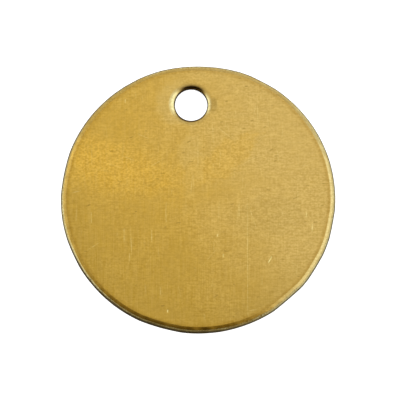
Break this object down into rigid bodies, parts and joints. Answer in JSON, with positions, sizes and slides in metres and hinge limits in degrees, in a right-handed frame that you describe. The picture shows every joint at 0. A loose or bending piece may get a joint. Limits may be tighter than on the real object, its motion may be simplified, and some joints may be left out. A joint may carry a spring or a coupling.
{
  "type": "transit token",
  "caption": "Thin round brass token, blank on both faces, with a bevelled edge and a punched hole near the rim to hang it by.",
  "frame": {"origin": "centre of the back face, on the surface that the token lies on", "axes": "+Z out of the front face, the one with the bevelled edge; +Y from the disc's centre towards the hole; +X to the right when the front face is seen with the hole at the top"},
  "size_m": [0.0381, 0.038, 0.001],
  "materials": {
    "brass": "satin"
  },
  "bodies": {
    "root": {"token_disc": "brass"}
  },
  "joints": []
}
